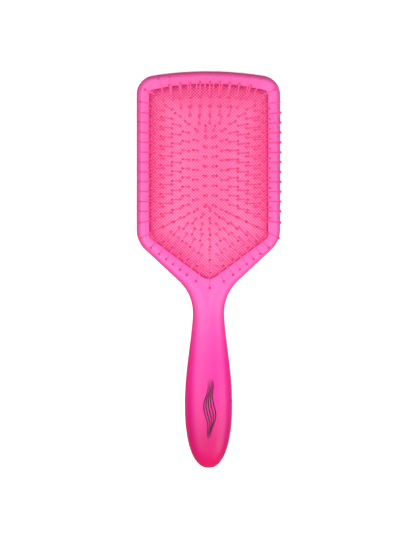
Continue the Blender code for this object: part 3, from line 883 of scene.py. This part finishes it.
def opening():
    """The cutter for the cushion's opening, flared at the top to round the rim's lip."""
    pad = pad_outline()
    loops = [at_height(pad, OPENING_FLOOR_Z), at_height(pad, LIP_Z - LIP_R)]
    for k in range(1, LIP_STEPS + 1):
        turn = math.pi / 2.0 * k / LIP_STEPS
        loops.append(at_height(offset(pad, LIP_R * (1.0 - math.cos(turn))),
                               LIP_Z - LIP_R + LIP_R * math.sin(turn)))
    loops.append(at_height(offset(pad, LIP_R), OPENING_TOP_Z))
    return add_mesh("opening", *loft_data(loops))


def casings():
    """Both shells; the front one is returned."""
    rows = shell_rows(body_outline())
    front = add_mesh("front_casing", *loft_data(shell_loops(rows, front_height, 1.0, RIM_CROWN)),
                     shell_look("front_soft_touch", FRONT_STOPS), weld=SHELL_WELD)
    back = add_mesh("back_casing", *loft_data(shell_loops(rows, back_height, -1.0, 0.0)),
                    shell_look("back_soft_touch", BACK_STOPS), weld=SHELL_WELD)
    cut(front, opening())
    front.data.shade_smooth()
    front.data.set_sharp_from_angle(angle=SHARP_ANGLE)
    finish_piece(front, "root", "shell_front", "front_shell")
    finish_piece(back, "root", "shell_back", "back_shell")
    return front


def dome():
    """The cushion's skin, with each point's distance from the pad's edge for its colour, painted
    edge shade and glow.
    """
    edge = offset(pad_outline(), -PAD_GAP)
    loops = [at_height(edge, SKIRT_Z), at_height(edge, PAD_EDGE_Z)]
    for share in DOME_SHARES:
        loops.append([(x, y, dome_height(x, y)) for x, y in shrunk(edge, share)])
    made = add_mesh("cushion_dome", *loft_data(loops), rubber_look(), sharp=DOME_SHARP_ANGLE)
    mesh = made.data
    depth = mesh.attributes.new("depth", "FLOAT", "POINT")
    for vertex, value in zip(mesh.vertices, depth.data):
        value.value = min(edge_distances(vertex.co.x / MM, vertex.co.y / MM))
    return made


def sockets(rows):
    """A low moulded ring round every pin, with a disc of painted shade in its hollow."""
    verts, faces, pits = [], [], []
    for pins in rows.values():
        for foot, _ in pins:
            up = surface_normal(foot.x, foot.y)
            for pit, profile in enumerate((SOCKET_RING, SOCKET_PIT)):
                before = len(faces)
                turned(verts, faces, foot, up, profile, SOCKET_SIDES)
                pits.extend([pit] * (len(faces) - before))
    made = add_mesh("cushion_sockets", verts, faces, socket_look())
    made.data.materials.append(pit_shade_look())
    for polygon, pit in zip(made.data.polygons, pits):
        polygon.material_index = pit
    return made


def cushion(rows):
    """The dome and its sockets, each given a mesh of its own; on the brush they flatten together
    when pressed.
    """
    skin = dome()
    rings = sockets(rows)
    finish_piece(skin, "root", "cushion_rubber", "cushion")
    finish_piece(rings, "root", "cushion_rubber")
    for soft in (skin, rings):
        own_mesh(soft)


def pins(rows):
    """One piece for each row of pins, with a second material on the balls."""
    # the shafts' colours along Y are painted light; shafts and tips get a painted glow
    shaft = nylon_look("pin_shaft", SHAFT_PAINTED_LIGHT_STOPS, 0.34, 0.3)
    tip = nylon_look("pin_tip", TIP_STOPS, 0.30, 0.08)
    below_ball = shaft_profile()
    profile = below_ball + ball_profile()
    ball_from = PIN_SIDES * (len(below_ball) - 1)
    foot_cap = PIN_SIDES * (len(profile) - 1)
    per_pin = foot_cap + 2
    for node, row in rows.items():
        verts, faces = [], []
        for foot, along in row:
            turned(verts, faces, foot, along, profile, PIN_SIDES)
        made = add_mesh(node.replace("pins_", "") + "_pins", verts, faces, shaft)
        made.data.materials.append(tip)
        for index, polygon in enumerate(made.data.polygons):
            place = index % per_pin
            on_ball = place >= ball_from and place != foot_cap
            polygon.material_index = 1 if on_ball else 0
        finish_piece(made, BODY_OF[node], "pin_nylon", node)


def strand_point(strand, t):
    """A strand's middle and half its width, t running from 0 at its top to 1 at its lower end."""
    share = strand / (STRAND_COUNT - 1.0) - 0.5
    bulge = math.sin(math.pi * t)
    fall = STRAND_STAGGER * abs(share) + t * (1.0 - STRAND_SHORTER * abs(share))
    fan = STRAND_FAN_AT_ENDS + (1.0 - STRAND_FAN_AT_ENDS) * bulge ** STRAND_FAN_POWER
    wave = math.sin(2.0 * math.pi * (STRAND_TURNS * t + STRAND_PHASE * strand))
    x = STRAND_MIDDLE_X + share * STRAND_FAN * fan + STRAND_WAVE * wave
    y = STRAND_TOP_Y + (STRAND_LOW_Y - STRAND_TOP_Y) * fall
    return x, y, STRAND_THIN + STRAND_THICKER * bulge ** STRAND_TAPER_POWER


def strands(front):
    """Wavy hair strands printed down the handle."""
    tree = BVHTree.FromObject(front, bpy.context.evaluated_depsgraph_get())
    down = Vector((0.0, 0.0, -1.0))
    wide = len(STRAND_SECTION)
    verts, faces = [], []
    for strand in range(STRAND_COUNT):
        start = len(verts)
        for i in range(STRAND_STEPS + 1):
            middle, y, half = strand_point(strand, i / STRAND_STEPS)
            for side, rise in STRAND_SECTION:
                x = middle + side * half
                hit = tree.ray_cast(Vector((x * MM, y * MM, PROBE_Z_M)), down)[0]
                verts.append((x, y, hit.z / MM + rise))
        for i in range(STRAND_STEPS):
            for j in range(wide - 1):
                a = start + i * wide + j
                faces.append((a, a + 1, a + wide + 1, a + wide))
    made = add_mesh("handle_print", verts, faces, ink_look(), sharp=STRAND_SHARP_ANGLE)
    finish_piece(made, "root", "shell_front")


# ---------------------------------------------------------------- stage, lights, camera

def floor():
    """A wide pale floor, brighter to the camera than to the brush."""
    verts = [(x * FLOOR_REACH, y * FLOOR_REACH, FLOOR_Z)
             for x, y in ((-1.0, -1.0), (1.0, -1.0), (1.0, 1.0), (-1.0, 1.0))]
    look = Look("white_sweep")
    seen = look.node("ShaderNodeLightPath").outputs["Is Camera Ray"]
    tone = look.mix(look.spread(look.noise(30.0), 0.0, 1.0), *FLOOR_TONES)
    tone = look.mix(seen, FLOOR_BOUNCE, tone)
    look.use(Base_Color=tone, Roughness=0.9, Emission_Color=(1.0, 1.0, 1.0, 1.0),
             Emission_Strength=look.math("MULTIPLY", seen, FLOOR_GLOW))
    add_mesh("floor", verts, [(0, 1, 2, 3)], look.material)


def lamp(name, place, power):
    """A round soft lamp aimed at the brush."""
    data = bpy.data.lights.new(name, "AREA")
    data.shape = "DISK"
    data.size = LAMP_SIZE_M
    data.energy = power
    made = bpy.data.objects.new(name, data)
    made.location = place
    aim = Vector(LAMP_AIM_M) - Vector(place)
    made.rotation_euler = aim.to_track_quat("-Z", "Y").to_euler()
    bpy.context.scene.collection.objects.link(made)


def surroundings():
    """A world that is brighter above and in front, and pale to the camera."""
    world = bpy.data.worlds.new("studio")
    world.use_nodes = True
    tree = world.node_tree
    background = tree.nodes["Background"]
    up = tree.nodes.new("ShaderNodeVectorMath")
    up.operation = "DOT_PRODUCT"
    up.inputs[1].default_value = WORLD_BRIGHT_SIDE
    tree.links.new(tree.nodes.new("ShaderNodeTexCoord").outputs["Generated"], up.inputs[0])
    fall = tree.nodes.new("ShaderNodeMapRange")
    fall.inputs["From Min"].default_value = WORLD_FALL_FROM
    fall.inputs["To Min"].default_value = WORLD_LOW
    fall.inputs["To Max"].default_value = WORLD_HIGH
    tree.links.new(up.outputs["Value"], fall.inputs["Value"])
    tree.links.new(fall.outputs["Result"], background.inputs["Strength"])
    tint = tree.nodes.new("ShaderNodeMix")
    tint.data_type = "RGBA"
    tint.inputs[6].default_value = WORLD_LIGHT
    tint.inputs[7].default_value = WORLD_SEEN
    seen = tree.nodes.new("ShaderNodeLightPath").outputs["Is Camera Ray"]
    tree.links.new(seen, tint.inputs[0])
    tree.links.new(tint.outputs[2], background.inputs["Color"])
    return world


def studio():
    """World, exposure, lamps and floor."""
    scene = bpy.context.scene
    scene.world = surroundings()
    scene.view_settings.view_transform = "Standard"
    scene.view_settings.exposure = EXPOSURE
    lamp("key", KEY_PLACE_M, KEY_POWER)
    lamp("fill", FILL_PLACE_M, FILL_POWER)
    floor()


def camera():
    """High above the head and a little to its left, with the picture shifted to the handle."""
    data = bpy.data.cameras.new("camera")
    data.sensor_width = SENSOR
    data.lens = LENS_TRIM * SENSOR * CAMERA_HEIGHT_M / VIEW_TALL_M
    data.shift_y = -VIEW_DOWN_M * LENS_TRIM / VIEW_TALL_M
    made = bpy.data.objects.new("camera", data)
    made.location = (CAMERA_X_M, 0.0, CAMERA_HEIGHT_M + RIM_Z * MM)
    made.rotation_euler = (0.0, -math.atan(CAMERA_TURN_M / CAMERA_HEIGHT_M), 0.0)
    bpy.context.scene.collection.objects.link(made)
    bpy.context.scene.camera = made


layout = pin_rows()
front_casing = casings()
strands(front_casing)
cushion(layout)
pins(layout)
studio()
camera()
